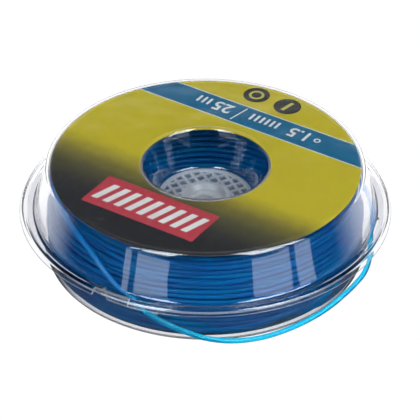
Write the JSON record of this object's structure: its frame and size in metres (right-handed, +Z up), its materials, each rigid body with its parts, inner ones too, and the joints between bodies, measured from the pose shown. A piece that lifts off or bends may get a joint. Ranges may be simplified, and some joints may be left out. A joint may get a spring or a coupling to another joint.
{
  "type": "line spool",
  "caption": "Clear two-part ring case, closed flange to flange, holding a wound nylon line with a printed card ring behind each face and a loop of line led out under the rim.",
  "frame": {"origin": "centre of the flat face that the case stands on", "axes": "+Z up along the hub's axis, -Y towards the side where the line runs outside the case, +X to the right seen from -Y"},
  "size_m": [0.1076, 0.1076, 0.03],
  "materials": {
    "clear_plastic": "clear formed sheet, glossy",
    "printed_card": "printed card, satin",
    "wound_line": "drawn nylon, glossy",
    "free_line": "drawn nylon, glossy, translucent"
  },
  "bodies": {
    "lower_case": {"lower_shell": "clear_plastic", "bottom_label": "printed_card", "line_tail": "free_line"},
    "upper_case": {"upper_shell": "clear_plastic", "top_label": "printed_card"},
    "coil": {"line_coil": "wound_line"}
  },
  "joints": [
    {"name": "upper_case_lift", "type": "slide", "parent": "lower_case", "child": "upper_case", "axis": [0, 0, 1], "range_m": [0, 0.045]},
    {"name": "coil_turn", "type": "hinge", "parent": "lower_case", "child": "coil", "pos_m": [0, 0, 0.015], "axis": [0, 0, 1], "continuous": true}
  ]
}
